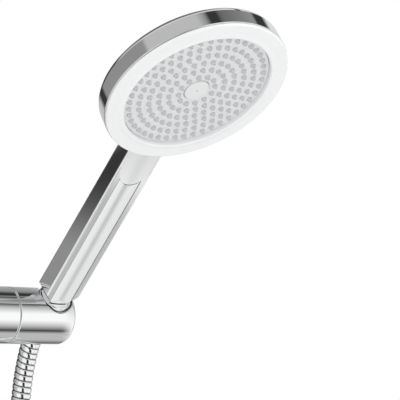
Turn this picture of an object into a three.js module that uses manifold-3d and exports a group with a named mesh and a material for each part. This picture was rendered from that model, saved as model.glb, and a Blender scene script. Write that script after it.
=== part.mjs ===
// A hand shower resting in a wall-mounted swivel holder, with its metal hose.
// Units are millimetres, +Z is up, the wall is the plane y = 0 and the room lies towards -Y.
// The origin is the middle of the wall plate's back face. The holder's barrel runs along X.

import * as THREE from "three";
import Module from "manifold-3d";

const wasm = await Module();
wasm.setup();

// ---------------------------------------------------------------- driving sizes

const gap = 0.3; // clearance between pieces that touch or turn in each other
const cutRoom = 10; // how far a cutter runs past what it cuts
const degree = Math.PI / 180;

// Facets round a full circle.
const fine = 48;
const medium = 32;
const small = 20;
const tiny = 12;

// Pose at rest.
const lean = 45 * degree; // handle from the vertical, towards the room
const faceTilt = 11.5 * degree; // spray face against the handle's front

// The holder's barrel, which the handle stands on
const barrelRadius = 20;

// Spray head, in its own frame: +Z leaves the spray face, z = 0 is the front of the ring.
const faceRadius = 62.5;
const bandDepth = 9.2; // straight part of the rim
const shoulderRadius = 7;
const domeRise = 5;
const shellWall = 2.2;
const ringFront = 2; // thickness of the white ring's flange
const ringInner = 50;
const plateDepth = 3.3; // how far the nozzle plate lies below the ring
const plateThickness = 2.3;
const skirtWall = 2.2; // the ring's skirt, inside the rim
const distributorThickness = 1.6;
const distributorHole = 2.5;
const chamberSeal = 3; // the seal's width and height
const headUp = 215; // face centre above the barrel's axis, along the handle
const rimLead = 2.24; // the rim's lowest point stands this far in front of the handle

// Nozzles.
const nozzleRings = [12.5, 19.2, 25.9, 32.6, 39.3, 46];
const nozzlePitch = 6.5;
const nozzleRadius = 1.25;
const nozzleTip = 0.8;
const nozzleHeight = 2.2;
const capRadius = 8.5;
const capThickness = 1.4;
const pinHole = 0.7;
const screwRadius = 1.5;
const screwHeadRadius = 4.2;
const screwHeadHeight = 2;
const bossRadius = 4;
const bossTop = 11; // below the face
const chamberRadius = 52;
const distributorRadius = 48;
const distributorHoles = 12;

// Handle, along its own +Z, front towards -Y.
const handleHalfWidth = 14.2;
const handleFront = 7.1;
const handleBackFoot = 7.6;
const handleBackNeck = 6;
const footSink = 1; // the foot dips this far below the barrel's highest line
const footZ = barrelRadius - footSink;
const neckOverlap = 25.5; // the bar runs this far up behind the rim
const neckZ = headUp - faceRadius + neckOverlap;
const headForward = handleFront + rimLead + faceRadius * Math.sin(faceTilt);
const footChamfer = 7.2;
const footChamferRise = 5;
const handleEdge = 1.3;
const panelHalfWidth = 8.7;
const panelThickness = 1.6;
const panelCrown = 0.7;
const panelRecess = 1.3;
const scoopDrop = 2.5; // the scoop's middle below the rim
const scoopZ = headUp - faceRadius - scoopDrop;
const scoopHalfWidth = 22;
const scoopHalfLength = 32;
const scoopHalfDepth = 8;
const scoopDepth = 2.2;

// Water path inside the handle.
const tubeRadius = 4;
const tubeBore = 2.8;
const tubeY = 0.2;
const stemRadius = 5;
const stemLength = 16;
const boreRunOut = 17; // the bore runs on past the tube into the head
const tubeShort = 26; // the tube ends this far below the bar's top
const tubeTop = neckZ - tubeShort;

// Inlet thread and the hose's cone nut.
const threadRadius = 9.9;
const threadLength = 12;
const flowBore = 8;
const regulatorSeat = 5; // depth of the regulator's pocket
const regulatorHole = 1.6;
const coneTopRadius = 12;
const coneBottomRadius = 10.15;
const coneDrop = 0.6; // the nut's collar below the foot
const coneTopZ = footZ - coneDrop;
const coneBottomZ = -14;
const ferruleFlange = 9.7;
const ferruleRadius = 8.2;
const ferruleBottomZ = -10;
const ferruleRim = 2.2; // thickness of the ferrule's flange
const ferruleBore = 4.5;
const washerBore = 5;
const tubePassage = 3; // water passage in the spigot
const washerThickness = 2;

// Holder.
const wallGap = 52; // barrel axis from the wall
const holeX = 55; // conical hole's axis along the barrel
const freeEnd = 15; // barrel's end beyond the hole's axis
const endRounding = 6.5;
const seam = 33; // middle of the seam ring, before the hole's axis
const seamRing = 2;
const fixedEndX = -21;
const partition = 8;
const cavityRadius = 14;
const boltRadius = 4;
const boltDepth = 14;
const boltHeadRadius = 7;
const boltHeadLength = 6;
const springThickness = 1;
const springDish = 0.8;
const springRadius = 11;
const keySocket = 3.4; // corner radius of the bolt's hexagon socket
const keyDepth = 4;
const bushWall = 1.1; // at the mouth
const bushDrop = 3.2; // the bush's mouth below the collar
const bushTopZ = coneTopZ - bushDrop;
const shoulderZ = -14.5;
const hoseHole = 10;
const slotWidth = 15.6;
const capFlange = 3;
const capPlug = 6;
const neckRadius = 12;
const rosetteRadius = 27;
const rosetteThickness = 8;
const rosetteRound = 3;
const wallPlateRadius = 22.6;
const wallPlateThickness = 5;
const wallScrewRadius = 2.4;
const wallScrewOffset = 13;
const wallScrewHead = 4.8;
const countersinkFrom = 2.6; // distance from the wall
const countersinkTo = 5.2;
const grubOffset = 0.4; // the grub screw from the plate's middle
const grubRadius = 2;

// Hose.
const hoseRadius = 7;
const hoseSides = 10;
const hoseSteps = 30;
const coilRadius = 70;
const coilTurns = 3;
const coilPitch = 14.6;
const coilZ = -250;
const coilStartY = -21;
const tailLength = 22;
const hexAcross = 24;
const hexLength = 14;
const nutCollar = 2.4; // the nut's wall behind the ferrule's flange
const tailFerruleLength = 16;
const tailFlange = 2;
const tailFlangeRadius = ferruleFlange - 0.7;
const tailFerruleRadius = ferruleRadius - 0.4;
const tieWidth = 9;
const tieThickness = 1.6;
const tieBuckle = 0.9; // extra room on the strap's inner side

// ---------------------------------------------------------------- materials

function finish(color, roughness, metalness) {
  return new THREE.MeshStandardMaterial({ color, roughness, metalness });
}

const finishes = {
  chrome: () => finish(0xd9dbde, 0.06, 1),
  satin: () => finish(0xdfe1e3, 0.3, 1),
  brass: () => finish(0xb99a5b, 0.35, 1),
  steel: () => finish(0xb4b8bb, 0.35, 1),
  white: () => finish(0xf2f3f3, 0.4, 0),
  grey: () => finish(0x9fa3a6, 0.55, 0),
  rubber: () => finish(0x2b2c2e, 0.85, 0),
  dark: () => finish(0x4a4d50, 0.6, 0),
};

// ---------------------------------------------------------------- geometry helpers

function turned(profile, segments) {
  const points = profile.map(([radius, z]) => new THREE.Vector2(radius, z));
  return new THREE.LatheGeometry(points, segments).rotateX(Math.PI / 2);
}

function disc(radius, low, high, segments = medium) {
  return turned([[0, low], [radius, low], [radius, high], [0, high]], segments);
}

function washer(inner, outer, low, high, segments = medium) {
  const profile = [[inner, low], [outer, low], [outer, high], [inner, high], [inner, low]];
  return turned(profile, segments);
}

function arc(centreR, centreZ, radius, from, to, steps) {
  const points = [];
  for (let step = 0; step <= steps; step += 1) {
    const angle = (from + ((to - from) * step) / steps) * degree;
    points.push([centreR + radius * Math.cos(angle), centreZ + radius * Math.sin(angle)]);
  }
  return points;
}

function alongX(geometry) {
  return geometry.rotateY(Math.PI / 2);
}

// +Z of the piece turns to -Y, so that what was on top faces the room.
function towardsRoom(geometry) {
  return geometry.rotateX(Math.PI / 2);
}

function signedVolume(points, corners) {
  const [a, b, c] = [new THREE.Vector3(), new THREE.Vector3(), new THREE.Vector3()];
  let volume = 0;
  for (let corner = 0; corner < corners.length; corner += 3) {
    a.fromArray(points, corners[corner] * 3);
    b.fromArray(points, corners[corner + 1] * 3);
    c.fromArray(points, corners[corner + 2] * 3);
    volume += a.dot(b.cross(c));
  }
  return volume;
}

// Vertices at the same place become one, flat triangles go, and the faces point outwards.
function closedBody(geometry) {
  const plain = geometry.index ? geometry.toNonIndexed() : geometry;
  const places = plain.attributes.position;
  const known = new Map();
  const points = [];
  const corners = [];
  const numberOf = (index) => {
    const place = [places.getX(index), places.getY(index), places.getZ(index)];
    const key = place.map((value) => Math.round(value * 1e4)).join();
    if (!known.has(key)) {
      known.set(key, points.length / 3);
      points.push(...place);
    }
    return known.get(key);
  };
  for (let index = 0; index < places.count; index += 3) {
    const triangle = [numberOf(index), numberOf(index + 1), numberOf(index + 2)];
    if (new Set(triangle).size === 3) corners.push(...triangle);
  }
  if (signedVolume(points, corners) < 0) corners.reverse();
  return new wasm.Manifold(
    new wasm.Mesh({
      numProp: 3,
      vertProperties: new Float32Array(points),
      triVerts: new Uint32Array(corners),
    }),
  );
}

function geometryOf(body) {
  const mesh = body.getMesh();
  const geometry = new THREE.BufferGeometry();
  geometry.setAttribute("position", new THREE.BufferAttribute(mesh.vertProperties, 3));
  geometry.setIndex(new THREE.BufferAttribute(mesh.triVerts, 1));
  return geometry;
}

function joined(...geometries) {
  return geometries.map(closedBody).reduce((whole, body) => whole.add(body));
}

function cut(body, ...geometries) {
  return geometries.map(closedBody).reduce((rest, tool) => rest.subtract(tool), body);
}

function piece(name, shape, material) {
  const body = shape instanceof THREE.BufferGeometry ? closedBody(shape) : shape;
  const geometry = geometryOf(body).toNonIndexed();
  geometry.computeVertexNormals();
  const mesh = new THREE.Mesh(geometry, material());
  mesh.name = name;
  return mesh;
}

// ---------------------------------------------------------------- frames

// Holder frame: the barrel's axis crosses the hole's axis at its origin, +Z up.
const holder = new THREE.Group();
holder.position.set(holeX, -wallGap, 0);

// Handset frame: same origin, +Z up the handle, the handle's front towards -Y.
const handset = new THREE.Group();
handset.rotation.x = lean;
holder.add(handset);

// Head frame: +Z leaves the spray face.
const head = new THREE.Group();
head.position.set(0, -headForward, headUp);
head.rotation.x = Math.PI / 2 + faceTilt;
handset.add(head);
head.updateMatrix();

// ---------------------------------------------------------------- handset casing

// The foot's outline seen from the front, with chamfered lower corners.
function footOutline(halfWidth, low, high) {
  const flat = Math.min(halfWidth, handleHalfWidth - footChamfer);
  const slope = footChamferRise / footChamfer;
  const corner = low + (halfWidth - flat) * slope;
  const outline = new THREE.Shape();
  outline.moveTo(-flat, low);
  outline.lineTo(flat, low);
  outline.lineTo(halfWidth, corner);
  outline.lineTo(halfWidth, high);
  outline.lineTo(-halfWidth, high);
  outline.lineTo(-halfWidth, corner);
  return outline;
}

function handleBar() {
  const depth = handleFront + handleBackFoot;
  const bar = new THREE.ExtrudeGeometry(footOutline(handleHalfWidth, footZ, neckZ), {
    depth: depth - 2 * handleEdge,
    bevelThickness: handleEdge,
    bevelSize: handleEdge,
    bevelOffset: -handleEdge,
    bevelSegments: 2,
  });
  towardsRoom(bar).translate(0, handleBackFoot - handleEdge, 0);
  const places = bar.attributes.position;
  for (let index = 0; index < places.count; index += 1) {
    const share = (places.getZ(index) - footZ) / (neckZ - footZ);
    const back = THREE.MathUtils.lerp(1, handleBackNeck / handleBackFoot, share);
    if (places.getY(index) > 0) places.setY(index, places.getY(index) * back);
  }
  return bar;
}

function scoop() {
  const hollow = new THREE.SphereGeometry(1, 28, 16).scale(scoopHalfWidth, scoopHalfDepth, scoopHalfLength);
  return hollow.translate(0, scoopDepth - handleFront - scoopHalfDepth, scoopZ);
}

// Where the scoop's rim crosses the handle's front, as half axes of an ellipse.
function scoopRim() {
  const share = Math.sqrt(1 - ((scoopHalfDepth - scoopDepth) / scoopHalfDepth) ** 2);
  return [scoopHalfWidth * share, scoopHalfLength * share];
}

// The strip's outline: chamfered at the foot, an arc along the scoop's rim at the top.
function panelOutline(halfWidth, low, rimGap) {
  const [rimX, rimZ] = scoopRim().map((halfAxis) => halfAxis + rimGap);
  const flat = Math.min(halfWidth, handleHalfWidth - footChamfer);
  const corner = low + ((halfWidth - flat) * footChamferRise) / footChamfer;
  const start = Math.acos(halfWidth / rimX);
  const outline = new THREE.Shape();
  outline.moveTo(-flat, low);
  outline.lineTo(flat, low);
  outline.lineTo(halfWidth, corner);
  outline.lineTo(halfWidth, scoopZ - rimZ * Math.sin(start));
  outline.absellipse(0, scoopZ, rimX, rimZ, -start, start - Math.PI, true);
  outline.lineTo(-halfWidth, corner);
  return outline;
}

function panelRecessCut() {
  const hollow = new THREE.ExtrudeGeometry(panelOutline(panelHalfWidth + gap, footZ - 2, 0), {
    depth: panelRecess + 2,
    bevelEnabled: false,
    curveSegments: 10,
  });
  return towardsRoom(hollow).translate(0, panelRecess - handleFront, 0);
}

function handlePanel() {
  const strip = new THREE.ExtrudeGeometry(panelOutline(panelHalfWidth, footZ + gap, gap), {
    depth: panelThickness + panelCrown + 1,
    bevelEnabled: false,
    curveSegments: 10,
  });
  const back = panelRecess - handleFront - gap;
  towardsRoom(strip).translate(0, back, 0);
  const crownRadius = (panelHalfWidth ** 2 + panelCrown ** 2) / (2 * panelCrown);
  const crown = disc(crownRadius, 0, neckZ, 3 * fine);
  crown.translate(0, back - panelThickness + crownRadius, 0);
  return closedBody(strip).intersect(closedBody(crown));
}

function shellOuter() {
  const shoulderR = faceRadius - shoulderRadius;
  const backZ = -bandDepth - shoulderRadius;
  const domeRadius = (shoulderR ** 2 + domeRise ** 2) / (2 * domeRise);
  const dome = [0, 0.35, 0.7].map((share) => {
    const radius = share * shoulderR;
    return [radius, backZ - domeRise + domeRadius - Math.sqrt(domeRadius ** 2 - radius ** 2)];
  });
  const shoulder = arc(shoulderR, -bandDepth, shoulderRadius, -90, 0, 4);
  return turned([...dome, ...shoulder, [faceRadius, -ringFront - gap], [0, -ringFront - gap]], fine);
}

function shellInner() {
  const radius = faceRadius - shellWall;
  const floorZ = -bandDepth - shoulderRadius + shellWall + 1;
  const profile = [
    [0, floorZ - domeRise + 1],
    [radius - 14, floorZ],
    [radius - shoulderRadius, floorZ],
    [radius, -bandDepth],
    [radius, 5],
    [0, 5],
  ];
  return turned(profile, fine);
}

function bodyShell() {
  const bar = cut(closedBody(handleBar()), scoop(), panelRecessCut());
  const whole = bar.add(closedBody(shellOuter().applyMatrix4(head.matrix)));
  const waterBore = disc(tubeRadius + gap, footZ, tubeTop + boreRunOut, small).translate(0, tubeY, 0);
  const socket = disc(stemRadius + gap, footZ - 1, footZ + stemLength + gap + washerThickness, small);
  const floorZ = -bandDepth - shoulderRadius;
  const screwBoss = disc(bossRadius, floorZ - 1, -bossTop - 0.5, tiny).applyMatrix4(head.matrix);
  const hollow = closedBody(shellInner().applyMatrix4(head.matrix)).subtract(closedBody(screwBoss));
  const screwHole = disc(screwRadius + gap, floorZ, -bossTop, tiny).applyMatrix4(head.matrix);
  return cut(whole.subtract(hollow), waterBore, socket.translate(0, tubeY, 0), screwHole);
}

// ---------------------------------------------------------------- spray face

function faceRing() {
  const outer = faceRadius - 0.2;
  const skirt = faceRadius - shellWall - gap;
  const profile = [
    [ringInner, -plateDepth],
    ...arc(ringInner + 1, -0.1, 1, 180, 60, 2),
    ...arc(outer - 0.8, -0.8, 0.8, 90, 0, 2),
    [outer, -ringFront],
    [skirt, -ringFront],
    [skirt, -bandDepth + 0.6],
    [skirt - skirtWall, -bandDepth + 0.6],
    [skirt - skirtWall, -plateDepth],
    [ringInner, -plateDepth],
  ];
  return turned(profile, fine);
}

// Every nozzle is a small four-sided stub, and all of them stand on the plate.
function nozzles(baseZ) {
  const places = [];
  const add = new THREE.Vector3();
  const stub = new THREE.CylinderGeometry(nozzleTip, nozzleRadius, nozzleHeight + 0.5, 4, 1);
  stub.rotateX(Math.PI / 2).translate(0, 0, (nozzleHeight - 0.5) / 2 + baseZ);
  const plain = stub.toNonIndexed();
  for (const radius of nozzleRings) {
    const count = Math.round((2 * Math.PI * radius) / nozzlePitch);
    for (let index = 0; index < count; index += 1) {
      const angle = (index / count) * 2 * Math.PI;
      const copy = plain.clone().translate(radius * Math.cos(angle), radius * Math.sin(angle), 0);
      for (let vertex = 0; vertex < copy.attributes.position.count; vertex += 1) {
        add.fromBufferAttribute(copy.attributes.position, vertex);
        places.push(add.x, add.y, add.z);
      }
    }
  }
  const geometry = new THREE.BufferGeometry();
  geometry.setAttribute("position", new THREE.Float32BufferAttribute(places, 3));
  return geometry;
}

function sprayPlate() {
  const top = -plateDepth - gap;
  const radius = faceRadius - shellWall - 2 * gap - skirtWall - gap;
  const plate = disc(radius, top - plateThickness, top, fine);
  return cut(joined(plate, nozzles(top)), disc(capRadius + gap, top - plateThickness - 1, top + 1, small));
}

function centreCap() {
  const top = -plateDepth - gap;
  const profile = [
    [0, top - capThickness],
    [capRadius, top - capThickness],
    [capRadius, top + 0.3],
    [capRadius - 0.6, top + 0.9],
    [0, top + 0.9],
  ];
  return cut(closedBody(turned(profile, small)), disc(pinHole, top - 0.2, top + 2, 8));
}

function centreScrew() {
  const seat = -plateDepth - 2 * gap - capThickness;
  const tip = -bandDepth - shoulderRadius + 1;
  const profile = [
    [0, tip],
    [screwRadius, tip],
    [screwRadius, seat - screwHeadHeight],
    [screwHeadRadius, seat - screwHeadHeight],
    [screwHeadRadius, seat],
    [0, seat],
  ];
  return turned(profile, tiny);
}

function chamberRing() {
  const top = -plateDepth - plateThickness - 2 * gap;
  const half = chamberSeal / 2;
  return washer(chamberRadius - half, chamberRadius + half, top - chamberSeal, top, fine);
}

function distributorDisc() {
  const top = -plateDepth - plateThickness - 2 * gap - distributorThickness;
  const ring = distributorRadius * 0.7;
  const holes = Array.from({ length: distributorHoles }, (_, index) => {
    const angle = (index / distributorHoles) * 2 * Math.PI;
    const hole = disc(distributorHole, top - 4, top + 1, 8);
    return hole.translate(ring * Math.cos(angle), ring * Math.sin(angle), 0);
  });
  const plate = washer(screwRadius + 0.7, distributorRadius, top - distributorThickness, top, medium);
  return cut(closedBody(plate), ...holes);
}

// ---------------------------------------------------------------- water path

function inletSpigot() {
  const flange = footZ - gap;
  const low = flange - threadLength;
  const profile = [
    [tubePassage, footZ + stemLength],
    [stemRadius, footZ + stemLength],
    [stemRadius, flange],
    [threadRadius, flange],
    [threadRadius, low],
    [flowBore, low],
    [flowBore, low + regulatorSeat],
    [tubePassage, low + regulatorSeat],
    [tubePassage, footZ + stemLength],
  ];
  return turned(profile, small).translate(0, tubeY, 0);
}

function waterwayTube() {
  const low = footZ + stemLength + washerThickness + 2 * gap;
  return washer(tubeBore, tubeRadius, low, tubeTop, small).translate(0, tubeY, 0);
}

function tubeSeal() {
  const low = footZ + stemLength + gap;
  return washer(tubeBore, stemRadius, low, low + washerThickness - gap, small).translate(0, tubeY, 0);
}

const washerTopZ = footZ - gap - threadLength - gap;
const ferruleTopZ = washerTopZ - washerThickness - gap;
const nutShoulderZ = ferruleTopZ - ferruleRim - gap;

function filterWasher() {
  return washer(washerBore, threadRadius - gap, washerTopZ - washerThickness, washerTopZ, small);
}

function coneRadiusAt(z) {
  const share = (z - coneBottomZ) / (coneTopZ - coneBottomZ);
  return THREE.MathUtils.lerp(coneBottomRadius, coneTopRadius, share);
}

function coneNut() {
  const collar = coneTopZ - 2.6;
  const profile = [
    [ferruleRadius + gap, coneBottomZ],
    [coneBottomRadius - 0.5, coneBottomZ],
    [coneRadiusAt(coneBottomZ + 0.5), coneBottomZ + 0.5],
    [coneRadiusAt(collar), collar],
    [coneTopRadius, collar + 0.4],
    [coneTopRadius, coneTopZ - 0.5],
    [coneTopRadius - 0.5, coneTopZ],
    [threadRadius + gap, coneTopZ],
    [threadRadius + gap, nutShoulderZ],
    [ferruleRadius + gap, nutShoulderZ],
    [ferruleRadius + gap, coneBottomZ],
  ];
  return turned(profile, medium);
}

function hoseFerrule() {
  const profile = [
    [ferruleBore, ferruleBottomZ],
    [ferruleRadius, ferruleBottomZ],
    [ferruleRadius, ferruleTopZ - ferruleRim],
    [ferruleFlange, ferruleTopZ - ferruleRim],
    [ferruleFlange, ferruleTopZ],
    [ferruleBore, ferruleTopZ],
    [ferruleBore, ferruleBottomZ],
  ];
  return turned(profile, small);
}

function flowRegulator() {
  const low = footZ - gap - threadLength;
  return washer(regulatorHole, flowBore - gap, low + 1, low + 4, small).translate(0, tubeY, 0);
}

// ---------------------------------------------------------------- holder

function barrelBody(low, high) {
  return alongX(disc(barrelRadius, low, high, fine));
}

// The slot lets the hose into the hole from the back.
function hoseSlot() {
  const depth = barrelRadius + 6;
  return new THREE.BoxGeometry(slotWidth, depth, 4 * barrelRadius).translate(0, depth / 2, 0).rotateX(lean);
}

function frontBarrel() {
  const start = -seam + seamRing / 2 + gap;
  const profile = [
    [0, start],
    [barrelRadius - 0.4, start],
    [barrelRadius, start + 0.4],
    ...arc(barrelRadius - endRounding, freeEnd - endRounding, endRounding, 0, 90, 5),
    [0, freeEnd],
  ];
  const bushOuter = coneRadiusAt(bushTopZ) + gap + bushWall;
  const bore = disc(bushOuter + gap, shoulderZ, barrelRadius + cutRoom, medium).rotateX(lean);
  const exit = disc(hoseHole, -barrelRadius - cutRoom, shoulderZ + 1, small).rotateX(lean);
  const thread = alongX(disc(boltRadius + gap, start - 1, start + boltDepth, small));
  return cut(closedBody(alongX(turned(profile, fine))), bore, exit, thread, hoseSlot());
}

function coneBush() {
  const outer = coneRadiusAt(bushTopZ) + gap + bushWall;
  const low = shoulderZ + gap;
  const seatLow = coneRadiusAt(low) + gap;
  const seatTop = coneRadiusAt(bushTopZ) + gap;
  const profile = [[seatLow, low], [outer, low], [outer, bushTopZ], [seatTop, bushTopZ], [seatLow, low]];
  return cut(closedBody(turned(profile, medium).rotateX(lean)), hoseSlot());
}

function frictionRing() {
  const half = seamRing / 2;
  return alongX(washer(boltRadius + gap, barrelRadius - 0.5, -seam - half, -seam + half, fine));
}

const fixedStartX = -seam - seamRing / 2 - gap;
const partitionX = fixedStartX - partition;

function bracketBody() {
  const wall = wallGap;
  const left = fixedEndX - holeX;
  const barrel = barrelBody(left, fixedStartX);
  const stem = disc(neckRadius, -wall + 2, 0, medium).rotateX(Math.PI / 2).translate(-holeX, 0, 0);
  const rosetteProfile = [
    [0, -wall + rosetteThickness],
    [rosetteRadius - rosetteRound, -wall + rosetteThickness],
    ...arc(rosetteRadius - rosetteRound, -wall + rosetteThickness - rosetteRound, rosetteRound, 90, 0, 3),
    [rosetteRadius, -wall + gap],
    [0, -wall + gap],
  ];
  const rosette = turned(rosetteProfile, fine).rotateX(Math.PI / 2).translate(-holeX, 0, 0);
  const pocket = disc(wallPlateRadius + gap, -wall - 1, -wall + wallPlateThickness + gap, medium);
  pocket.rotateX(Math.PI / 2).translate(-holeX, 0, 0);
  const cavity = alongX(disc(cavityRadius, left - 1, partitionX, small));
  const boltHole = alongX(disc(boltRadius + gap, partitionX - 1, fixedStartX + 1, small));
  const grubHole = disc(grubRadius + gap, -rosetteRadius - 1, -wallPlateRadius + 1, tiny);
  grubHole.translate(-holeX, wall - wallPlateThickness / 2 - grubOffset, 0);
  return cut(joined(barrel, stem, rosette), pocket, cavity, boltHole, grubHole);
}

function endCap() {
  const edge = fixedEndX - holeX - gap;
  const profile = [
    [0, edge - capFlange],
    ...arc(barrelRadius - 1.5, edge - capFlange + 1.5, 1.5, -90, 0, 3),
    [barrelRadius, edge],
    [cavityRadius - gap, edge],
    [cavityRadius - gap, edge + capPlug],
    [0, edge + capPlug],
  ];
  return alongX(turned(profile, fine));
}

function springWasher() {
  const face = partitionX - gap;
  const profile = [
    [boltRadius + gap, face - springDish - springThickness],
    [springRadius, face - springThickness],
    [springRadius, face],
    [boltRadius + gap, face - springDish],
    [boltRadius + gap, face - springDish - springThickness],
  ];
  return alongX(turned(profile, small));
}

function pivotBolt() {
  const seat = partitionX - gap - springDish - springThickness - gap;
  const tip = -seam + seamRing / 2 + gap + boltDepth - 2;
  const profile = [
    [0, seat - boltHeadLength],
    [boltHeadRadius, seat - boltHeadLength],
    [boltHeadRadius, seat],
    [boltRadius, seat],
    [boltRadius, tip - 0.8],
    [boltRadius - 0.8, tip],
    [0, tip],
  ];
  const hexSocket = alongX(disc(keySocket, seat - boltHeadLength - 1, seat - boltHeadLength + keyDepth, 6));
  return cut(closedBody(alongX(turned(profile, small))), hexSocket);
}

function wallPlate() {
  const plate = disc(wallPlateRadius, 0, wallPlateThickness, medium).rotateX(Math.PI / 2);
  const screwHoles = [-1, 1].map((side) => {
    const profile = [
      [0, -1],
      [wallScrewRadius, -1],
      [wallScrewRadius, countersinkFrom],
      [wallScrewHead, countersinkTo],
      [wallScrewHead, wallPlateThickness + 1],
      [0, wallPlateThickness + 1],
    ];
    return turned(profile, tiny).rotateX(Math.PI / 2).translate(side * wallScrewOffset, 0, 0);
  });
  const dimple = disc(grubRadius + gap, -wallPlateRadius - 1, -wallPlateRadius + 1.2, tiny);
  dimple.translate(0, -wallPlateThickness / 2 - grubOffset, 0);
  return cut(closedBody(plate), ...screwHoles, dimple);
}

function grubScrew() {
  const low = -rosetteRadius + 0.4;
  const tip = -wallPlateRadius + 0.8;
  const profile = [[0, low], [grubRadius, low], [grubRadius, tip - 0.8], [grubRadius - 0.8, tip], [0, tip]];
  return turned(profile, tiny).translate(0, -wallPlateThickness / 2 - grubOffset, 0);
}

// ---------------------------------------------------------------- hose

// The stretch from the ferrule to the coil, chosen by hand, in the part's own frame.
const hoseRoute = [
  [55, -44.7, -7.3],
  [55, -41.6, -10.6],
  [55, -38.7, -14.3],
  [55, -36.1, -18.7],
  [55, -33.4, -24.2],
  [55, -30.9, -30.6],
  [55, -28.6, -37.6],
  [55, -26.6, -45.2],
  [55, -25.1, -53.2],
  [55, -24, -61.5],
  [55.4, -23.2, -70],
  [57.6, -22.5, -80],
  [62.4, -22, -91],
  [69.8, -21.6, -102],
  [79, -21.3, -112.5],
  [90, -21.1, -123.2],
  [101, -21, -133.9],
  [110.4, -21, -144.8],
  [117.8, -21, -156],
  [122.8, -21, -168],
  [124.8, -21, -181],
  [125, -21, -193],
  [125, -21, -205.4],
];

function tubeAlong(points, steps) {
  const corners = points.map((point) => new THREE.Vector3(...point));
  const curve = new THREE.CatmullRomCurve3(corners, false, "centripetal");
  const section = new THREE.Shape();
  section.absarc(0, 0, hoseRadius, 0, 2 * Math.PI, false);
  return new THREE.ExtrudeGeometry(section, {
    extrudePath: curve,
    steps,
    bevelEnabled: false,
    curveSegments: hoseSides / 2,
  });
}

const coilLength = coilTurns * coilPitch + 2 * hoseRadius;
const coilFrontY = coilStartY + hoseRadius - coilLength;

// The closed outer shape of the coil's turns, with its axis towards the room.
function hoseCoil() {
  const ring = washer(coilRadius - hoseRadius, coilRadius + hoseRadius, 0, coilLength, fine);
  return ring.rotateX(Math.PI / 2).translate(holeX, coilStartY + hoseRadius, coilZ);
}

// A strap round all turns at the top of the coil.
function coilTie() {
  const inside = new THREE.Vector2(coilLength / 2 + gap, hoseRadius + gap);
  const outside = inside.clone().addScalar(tieThickness);
  const outline = new THREE.Shape();
  outline.moveTo(-outside.x, -outside.y);
  outline.lineTo(outside.x, -outside.y);
  outline.lineTo(outside.x, outside.y);
  outline.lineTo(-outside.x, outside.y);
  const opening = new THREE.Path();
  opening.moveTo(-inside.x, -inside.y - tieBuckle);
  opening.lineTo(inside.x, -inside.y - tieBuckle);
  opening.lineTo(inside.x, inside.y);
  opening.lineTo(-inside.x, inside.y);
  outline.holes.push(opening);
  const strap = new THREE.ExtrudeGeometry(outline, { depth: tieWidth, bevelEnabled: false });
  strap.translate(0, 0, -tieWidth / 2);
  strap.rotateY(Math.PI / 2).rotateX(Math.PI / 2);
  return strap.translate(holeX, coilStartY + hoseRadius - coilLength / 2, coilZ + coilRadius);
}

const tailX = holeX + coilRadius;
const tailY = coilFrontY + hoseRadius;
const tailTopZ = coilZ - Math.sqrt((coilRadius + hoseRadius) ** 2 - (coilRadius - hoseRadius) ** 2) - gap;
const tailBottomZ = tailTopZ - tailLength;

function hoseTail() {
  return disc(hoseRadius, tailBottomZ, tailTopZ, hoseSides).translate(tailX, tailY, 0);
}

function tailFerrule() {
  const top = tailBottomZ - gap;
  const profile = [
    [ferruleBore, top - tailFerruleLength],
    [tailFlangeRadius, top - tailFerruleLength],
    [tailFlangeRadius, top - tailFerruleLength + tailFlange],
    [tailFerruleRadius, top - tailFerruleLength + tailFlange],
    [tailFerruleRadius, top],
    [ferruleBore, top],
    [ferruleBore, top - tailFerruleLength],
  ];
  return turned(profile, small).translate(tailX, tailY, 0);
}

function hexNut() {
  const flangeTop = tailBottomZ - tailFerruleLength + tailFlange;
  const corner = hexAcross / 2 / Math.cos(30 * degree);
  const outside = disc(corner, flangeTop - hexLength + nutCollar, flangeTop + nutCollar, 6);
  const neck = disc(tailFerruleRadius + gap, flangeTop - 1, flangeTop + nutCollar + 1, small);
  const thread = disc(threadRadius + gap, flangeTop - hexLength, flangeTop, small);
  const nut = cut(closedBody(outside), neck, thread);
  return nut.translate([tailX, tailY, 0]);
}

function endWasher() {
  const top = tailBottomZ - 2 * gap - tailFerruleLength;
  return washer(washerBore, threadRadius - gap, top - washerThickness, top, small).translate(tailX, tailY, 0);
}

// ---------------------------------------------------------------- assembly

const assembly = new THREE.Group();
assembly.add(holder);

assembly.add(
  piece("wall_plate", wallPlate(), finishes.steel),
  piece("grub_screw", grubScrew(), finishes.steel),
  piece("hose_tube", tubeAlong(hoseRoute, hoseSteps), finishes.chrome),
  piece("hose_coil", hoseCoil(), finishes.chrome),
  piece("coil_tie", coilTie(), finishes.dark),
  piece("hose_tail", hoseTail(), finishes.chrome),
  piece("tail_ferrule", tailFerrule(), finishes.brass),
  piece("hex_nut", hexNut(), finishes.chrome),
  piece("end_washer", endWasher(), finishes.rubber),
);

holder.add(
  piece("bracket_body", bracketBody(), finishes.chrome),
  piece("end_cap", endCap(), finishes.chrome),
  piece("pivot_bolt", pivotBolt(), finishes.steel),
  piece("spring_washer", springWasher(), finishes.steel),
  piece("friction_ring", frictionRing(), finishes.grey),
  piece("front_barrel", frontBarrel(), finishes.chrome),
  piece("cone_bush", coneBush(), finishes.grey),
);

handset.add(
  piece("body_shell", bodyShell(), finishes.chrome),
  piece("handle_panel", handlePanel(), finishes.satin),
  piece("waterway_tube", waterwayTube(), finishes.white),
  piece("tube_seal", tubeSeal(), finishes.rubber),
  piece("inlet_spigot", inletSpigot(), finishes.brass),
  piece("flow_regulator", flowRegulator(), finishes.dark),
  piece("filter_washer", filterWasher(), finishes.rubber),
  piece("cone_nut", coneNut(), finishes.chrome),
  piece("hose_ferrule", hoseFerrule(), finishes.brass),
);

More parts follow.
